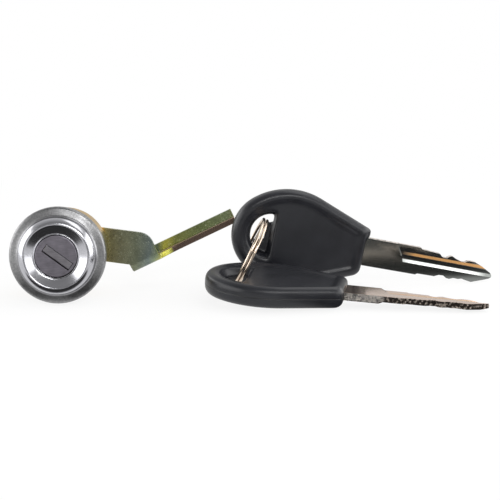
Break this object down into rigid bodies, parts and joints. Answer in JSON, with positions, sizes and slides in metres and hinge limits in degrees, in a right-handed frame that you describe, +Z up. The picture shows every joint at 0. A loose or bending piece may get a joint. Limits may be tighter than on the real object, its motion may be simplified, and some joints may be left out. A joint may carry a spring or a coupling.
{
  "type": "trunk lock cylinder",
  "caption": "Key-operated trunk lock barrel with spring-return lever and key slot shutter, beside its keys on a split ring.",
  "frame": {"origin": "on the table under the middle of the whole layout", "axes": "+Z up, +X from the lock to the key tips, +Y away from the side that the lock's face looks at"},
  "size_m": [0.1443, 0.0446, 0.0297],
  "materials": {
    "polished_steel": "polished, with a brushed flange band and plug face",
    "die_cast_zinc": "as-cast zinc alloy",
    "gasket_rubber": "matt rubber",
    "yellow_zinc": "yellow chromate over zinc plate",
    "spring_steel": "plain spring steel",
    "brass": "machined",
    "black_rubber": "satin moulded rubber",
    "nickel_plate": "nickel plate, ground cuts",
    "ring_steel": "bright nickel plate"
  },
  "bodies": {
    "lock": {"lock_housing": "die_cast_zinc", "bezel_cap": "polished_steel", "sealing_gasket": "gasket_rubber", "spring_cup": "yellow_zinc", "return_spring": "spring_steel"},
    "plug": {"plug_core": "brass", "plug_face_cap": "polished_steel", "shutter_pin": "spring_steel", "shutter_spring": "spring_steel", "wafer_1": "brass", "wafer_2": "brass", "wafer_3": "brass", "wafer_4": "brass", "wafer_5": "brass", "wafer_6": "brass", "wafer_springs": "spring_steel", "lever": "yellow_zinc", "lever_spacer": "spring_steel", "lever_retainer": "spring_steel"},
    "shutter": {"shutter_flap": "polished_steel"},
    "ring": {"key_ring": "ring_steel"},
    "key_1": {"key_1_blade": "nickel_plate", "key_1_head": "black_rubber"},
    "key_2": {"key_2_blade": "nickel_plate", "key_2_head": "black_rubber"}
  },
  "joints": [
    {"name": "plug_turn", "type": "hinge", "parent": "lock", "child": "plug", "pos_m": [-0.05814, -0.00968, 0.0142], "axis": [0, -0.9944, 0.1059], "range_deg": [0, 80], "stiffness_Nm_per_rad": 0.03, "springref_deg": -28.65, "deforming": ["return_spring"]},
    {"name": "shutter_swing", "type": "hinge", "parent": "plug", "child": "shutter", "pos_m": [-0.05673, -0.01116, 0.01631], "axis": [0.809, -0.0623, -0.5845], "range_deg": [0, 88], "stiffness_Nm_per_rad": 0.00002, "springref_deg": -57.3},
    {"name": "ring_lift", "type": "slide", "parent": "lock", "child": "ring", "axis": [0, 0, 1], "range_m": [0, 0.08]},
    {"name": "key_1_swing", "type": "hinge", "parent": "ring", "child": "key_1", "pos_m": [0.00097, 0.01319, 0.01901], "axis": [0.2699, -0.7555, 0.5969], "range_deg": [0, 30]},
    {"name": "key_2_swing", "type": "hinge", "parent": "ring", "child": "key_2", "pos_m": [-0.006, -0.00416, 0.00568], "axis": [-0.3564, 0.5402, -0.7623], "range_deg": [-12, 60]}
  ]
}
